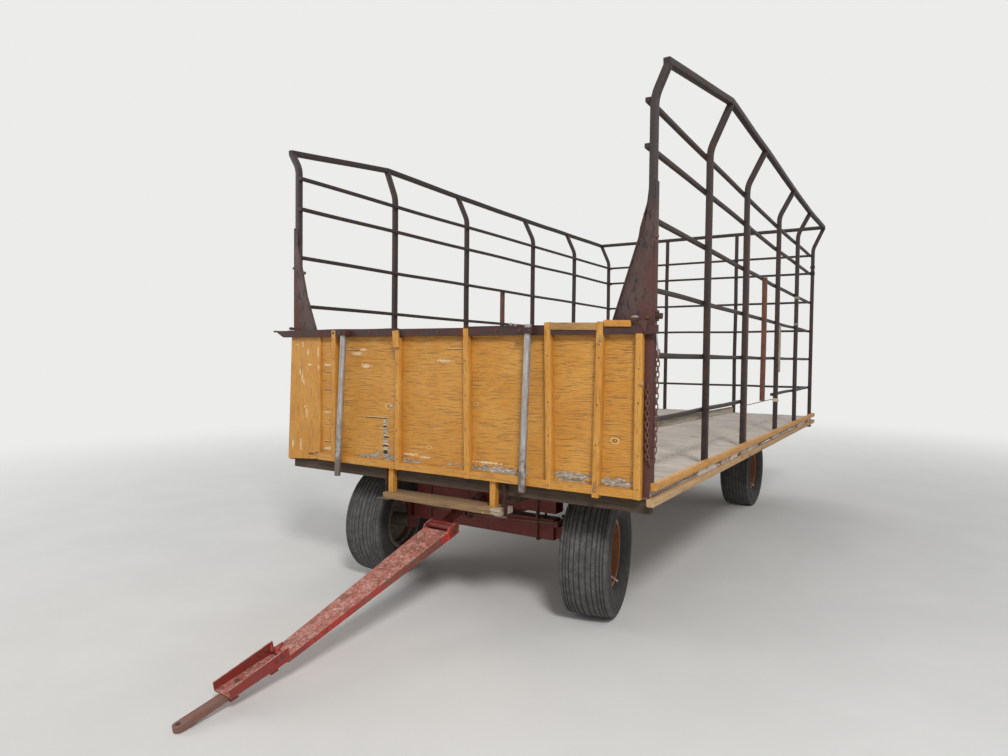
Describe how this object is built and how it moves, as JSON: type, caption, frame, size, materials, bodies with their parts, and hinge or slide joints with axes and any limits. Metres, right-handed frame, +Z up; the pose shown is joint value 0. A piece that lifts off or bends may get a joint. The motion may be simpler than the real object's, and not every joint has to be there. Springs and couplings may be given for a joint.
{
  "type": "basket hay wagon",
  "caption": "Old farm hay wagon with a tall steel-rail basket rack, plank deck, mustard plywood front panel, steered front axle and a hinged tongue on the ground.",
  "frame": {"origin": "on the ground, in the middle of the overall length and width, the tongue included", "axes": "+X towards the left side of the wagon, +Y towards its rear (the tongue points to -Y), +Z up"},
  "size_m": [2.9283, 7.2716, 3.2139],
  "materials": {
    "deck_wood": "weathered bare planks",
    "curb_paint": "worn mustard paint",
    "tan_wood": "bare timber",
    "sill_wood": "old dark timber",
    "rack_steel": "dark paint over rust",
    "corner_steel": "red oxide paint, flaking",
    "panel_paint": "worn mustard paint on plywood",
    "pole_steel": "dull galvanised",
    "gear_paint": "faded dark red paint",
    "tongue_paint": "faded red paint with rust",
    "bare_steel": "dull bare steel",
    "rim_paint": "faded orange-brown paint",
    "tyre_rubber": "dusty aged rubber"
  },
  "bodies": {
    "wagon": {"deck_planks": "deck_wood", "side_curbs": "curb_paint", "side_nailers": "tan_wood", "main_sills": "sill_wood", "outer_stringers": "sill_wood", "end_sills": "sill_wood", "left_top_rail": "rack_steel", "right_top_rail": "rack_steel", "left_rack_posts": "rack_steel", "right_rack_posts": "rack_steel", "left_rack_rails": "rack_steel", "right_rack_rails": "rack_steel", "tie_wire": "bare_steel", "rear_top_rail": "rack_steel", "rear_rack_posts": "rack_steel", "rear_rack_rails": "rack_steel", "bay_posts": "corner_steel", "panel_plywood": "panel_paint", "panel_steel_rail": "rack_steel", "panel_battens": "panel_paint", "panel_foot_rails": "panel_paint", "panel_end_board": "tan_wood", "panel_poles": "pole_steel", "pole_clips": "corner_steel", "corner_gussets": "corner_steel", "step_board": "tan_wood", "step_hangers": "tan_wood", "step_straps": "corner_steel", "front_axle": "gear_paint", "rear_axle": "gear_paint", "front_bolster": "gear_paint", "rear_bolster": "gear_paint", "axle_saddles": "gear_paint", "reach_pole": "gear_paint", "reach_braces": "gear_paint", "hound_lugs": "gear_paint", "king_bolt": "bare_steel"},
    "steer_hound": {"steering_hound": "tongue_paint"},
    "tongue": {"tongue": "tongue_paint", "hinge_pin": "bare_steel", "tip_guides": "tongue_paint"},
    "tongue_extension": {"tongue_tip": "bare_steel"},
    "left_knuckle": {"left_knuckle": "gear_paint"},
    "right_knuckle": {"right_knuckle": "gear_paint"},
    "left_tie_rod": {"left_tie_rod": "gear_paint"},
    "right_tie_rod": {"right_tie_rod": "gear_paint"},
    "front_left_wheel": {"front_left_wheel": "rim_paint", "front_left_tyre": "tyre_rubber"},
    "front_right_wheel": {"front_right_wheel": "rim_paint", "front_right_tyre": "tyre_rubber"},
    "rear_left_wheel": {"rear_left_wheel": "rim_paint", "rear_left_tyre": "tyre_rubber"},
    "rear_right_wheel": {"rear_right_wheel": "rim_paint", "rear_right_tyre": "tyre_rubber"}
  },
  "joints": [
    {"name": "tongue_swing", "type": "hinge", "parent": "wagon", "child": "steer_hound", "pos_m": [0, -1.53821, 0.607], "axis": [0, 0, 1], "range_deg": [-22, 26]},
    {"name": "tongue_lift", "type": "hinge", "parent": "steer_hound", "child": "tongue", "pos_m": [-0.01918, -1.92073, 0.531], "axis": [-0.9987, 0.0501, 0], "range_deg": [0, 50]},
    {"name": "tongue_extension", "type": "slide", "parent": "tongue", "child": "tongue_extension", "axis": [-0.0492, -0.9808, -0.1885], "range_m": [-0.14, 0]},
    {"name": "left_knuckle_turn", "type": "hinge", "parent": "wagon", "child": "left_knuckle", "pos_m": [0.595, -1.44321, 0.49], "axis": [0, 0, 1], "range_deg": [-22, 26]},
    {"name": "left_tie_rod_turn", "type": "hinge", "parent": "steer_hound", "child": "left_tie_rod", "pos_m": [0.01546, -1.66915, 0.5665], "axis": [0, 0, 1], "range_deg": [-26, 22]},
    {"name": "right_knuckle_turn", "type": "hinge", "parent": "wagon", "child": "right_knuckle", "pos_m": [-0.595, -1.44321, 0.49], "axis": [0, 0, 1], "range_deg": [-22, 26]},
    {"name": "right_tie_rod_turn", "type": "hinge", "parent": "steer_hound", "child": "right_tie_rod", "pos_m": [-0.02848, -1.66695, 0.5665], "axis": [0, 0, 1], "range_deg": [-26, 22]},
    {"name": "front_left_spin", "type": "hinge", "parent": "left_knuckle", "child": "front_left_wheel", "pos_m": [0.80605, -1.40219, 0.388], "axis": [0.9816, 0.1908, 0], "continuous": true},
    {"name": "front_right_spin", "type": "hinge", "parent": "right_knuckle", "child": "front_right_wheel", "pos_m": [-0.80882, -1.46568, 0.388], "axis": [-0.9945, -0.1045, 0], "continuous": true},
    {"name": "rear_left_spin", "type": "hinge", "parent": "wagon", "child": "rear_left_wheel", "pos_m": [0.81, 2.43579, 0.388], "axis": [1, 0, 0], "continuous": true},
    {"name": "rear_right_spin", "type": "hinge", "parent": "wagon", "child": "rear_right_wheel", "pos_m": [-0.81, 2.43579, 0.388], "axis": [-1, 0, 0], "continuous": true}
  ],
  "couplings": [
    {"joint": "left_knuckle_turn", "follows": "tongue_swing", "ratio": 1},
    {"joint": "left_tie_rod_turn", "follows": "tongue_swing", "ratio": -1},
    {"joint": "right_knuckle_turn", "follows": "tongue_swing", "ratio": 1},
    {"joint": "right_tie_rod_turn", "follows": "tongue_swing", "ratio": -1}
  ]
}
